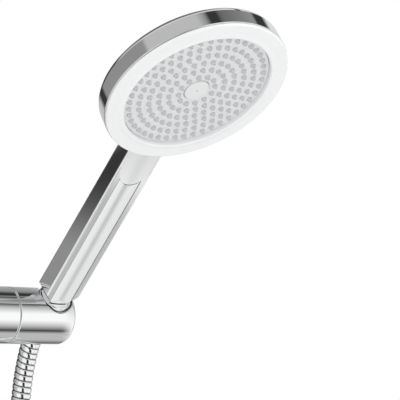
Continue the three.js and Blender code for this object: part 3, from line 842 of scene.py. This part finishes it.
# %% A soft step from 0 to 1
def soft_step(value, low, high):
    step = wn.new("ShaderNodeMapRange")
    step.interpolation_type = "SMOOTHSTEP"
    step.inputs["From Min"].default_value = low
    step.inputs["From Max"].default_value = high
    wl.new(value, step.inputs["Value"])
    return step.outputs["Result"]


# %% One inside a band of values, none outside
def inside(value, low, high, soft):
    both = wn.new("ShaderNodeMath")
    both.operation = "SUBTRACT"
    wl.new(soft_step(value, low - soft, low), both.inputs[0])
    wl.new(soft_step(value, high, high + soft), both.inputs[1])
    return both.outputs[0]


# %% Lay one brightness over another where a mask says so
def lay_over(below, mask, above):
    mix = wn.new("ShaderNodeMix")
    mix.data_type = "RGBA"
    wl.new(mask, mix.inputs["Factor"])
    wl.new(below, mix.inputs["A"])
    if isinstance(above, float):
        mix.inputs["B"].default_value = (above, above, above, 1)
    else:
        wl.new(above, mix.inputs["B"])
    return mix.outputs["Result"]


# %% A round patch of one brightness in one direction
def patch(below, direction, wide, soft, value):
    near = soft_step(along(direction), math.cos(math.radians(wide + soft)), math.cos(math.radians(wide)))
    return lay_over(below, near, value)


# %% Cards of brightness round an axis, each an angle in degrees and a level
def bands_round(ahead, aside, stops):
    roll = wn.new("ShaderNodeMath")
    roll.operation = "ARCTAN2"
    wl.new(along(aside), roll.inputs[0])
    wl.new(along(ahead), roll.inputs[1])
    share = wn.new("ShaderNodeMapRange")
    share.inputs["From Min"].default_value = -math.pi
    share.inputs["From Max"].default_value = math.pi
    wl.new(roll.outputs[0], share.inputs["Value"])
    bands = wn.new("ShaderNodeValToRGB")
    ramp = bands.color_ramp
    while len(ramp.elements) < len(stops):
        ramp.elements.new(0.5)
    for element, (angle, value) in zip(ramp.elements, stops):
        element.position = (angle + 180) / 360
        element.color = (value, value, value, 1)
    wl.new(share.outputs["Result"], bands.inputs["Fac"])
    return bands.outputs["Color"]


# %% The studio's cards, in six levels: wide ones, a set each for barrel and rim, and round patches
room_front, room_up = (0, -1, 0), (0, 0, 1)
face_way = (head_place.to_3x3() @ Vector((0, 0, 1))).normalized()
face_up = (head_place.to_3x3() @ Vector((0, -1, 0))).normalized()
if face_up.z < 0:
    face_up.negate()
BLACK, DARK, GREY, MID, PALE, WHITE = 0.04, 0.15, 0.3, 0.55, 0.8, 1.1
wide_cards = [
    (-180, MID), (-140, MID), (-110, PALE), (-40, WHITE), (30, PALE), (60, GREY), (90, PALE), (140, MID),
]
BARREL_SEES = (0.525, 0.583, 0.015)
RIM_SEES = (-0.615, -0.572, 0.02)
barrel_cards = [
    (-180, MID), (-145, DARK), (-115, MID), (-80, MID), (-65, BLACK), (-45, MID), (-20, WHITE),
    (5, WHITE), (30, MID), (45, BLACK), (60, MID), (75, BLACK), (95, BLACK), (110, GREY), (180, MID),
]
rim_cards = [
    (-180, GREY), (-105, GREY), (-100, BLACK), (-90, BLACK), (-80, MID), (0, PALE), (10, BLACK),
    (25, BLACK), (30, GREY), (75, DARK), (80, BLACK), (90, BLACK), (95, GREY), (105, MID),
    (170, MID), (175, GREY),
]
colour = bands_round(room_front, room_up, wide_cards)
colour = patch(colour, -face_way, 20, 15, DARK)
striped = lay_over(colour, inside(along((0.92, -0.39, 0)), -0.2, 0.2, 0.05), BLACK)
colour = patch(colour, (-0.3, -0.8, -0.5), 42, 6, striped)
colour = patch(colour, (-0.7, -0.1, -0.7), 10, 10, WHITE)
colour = patch(colour, (-0.1, 1.0, 0.05), 25, 10, BLACK)
colour = patch(colour, -back, 10, 5, BLACK)
colour = patch(colour, (0.58, -0.09, -0.81), 2, 2, MID)
colour = patch(colour, (-0.57, 0.82, 0.05), 10, 10, GREY)
colour = patch(colour, (-0.61, 0.77, 0.17), 2, 4, BLACK)
colour = lay_over(
    colour, inside(along((1, 0, 0)), *BARREL_SEES), bands_round(room_front, room_up, barrel_cards)
)
colour = lay_over(
    colour, inside(along(face_way), *RIM_SEES), bands_round((1, 0, 0), face_up, rim_cards)
)

# %% Mirrored rays see the cards; scattered light is plain white, and so is what lies behind
seen = wn.new("ShaderNodeLightPath")


def backdrop(strength, colour_socket=None):
    glow = wn.new("ShaderNodeBackground")
    glow.inputs["Strength"].default_value = strength
    glow.inputs["Color"].default_value = (1, 1, 1, 1)
    if colour_socket:
        wl.new(colour_socket, glow.inputs["Color"])
    return glow.outputs[0]


def choose(factor, otherwise, chosen):
    mix = wn.new("ShaderNodeMixShader")
    wl.new(factor, mix.inputs[0])
    wl.new(otherwise, mix.inputs[1])
    wl.new(chosen, mix.inputs[2])
    return mix.outputs[0]


lit = choose(seen.outputs["Is Glossy Ray"], backdrop(0.9), backdrop(1.0, colour))
ground = wn.new("ShaderNodeOutputWorld")
wl.new(choose(seen.outputs["Is Camera Ray"], lit, backdrop(1.0)), ground.inputs["Surface"])
bpy.context.scene.view_settings.view_transform = "Standard"


# %% Softboxes
def softbox(name, place, target, size, power):
    data = bpy.data.lights.new(name, "AREA")
    data.shape = "RECTANGLE"
    data.size, data.size_y = size
    data.energy = power
    box = bpy.data.objects.new(name, data)
    bpy.context.scene.collection.objects.link(box)
    box.location = place
    box.rotation_mode = "QUATERNION"
    box.rotation_quaternion = (Vector(target) - Vector(place)).to_track_quat("-Z", "Y")
    return box


focus = (0.05, -0.15, 0.08)
key = softbox("key", (-0.5, -1.1, -0.9), focus, (0.9, 0.9), 10)
fill = softbox("fill", (0.9, -0.9, 0.9), focus, (0.8, 0.8), 6)
key.visible_glossy = False
fill.visible_glossy = False

# %% [markdown]
# ## Floor
# A plain pale floor lies below the hanging hose. It is small, so that it stays out of a
# level view and the shower seems to hang in white space.

# %% Floor
bpy.ops.object.select_all(action="DESELECT")
bpy.ops.mesh.primitive_circle_add(vertices=96, radius=1.6, fill_type="NGON", location=(0, 0, -0.75))
floor = bpy.context.object
floor.name = "floor"
floor_finish = finish("pale_floor", (0.86, 0.86, 0.86), 0.0, 0.7, 0.05, 60, 0.0001)
floor.data.materials.append(floor_finish)
floor.visible_glossy = False
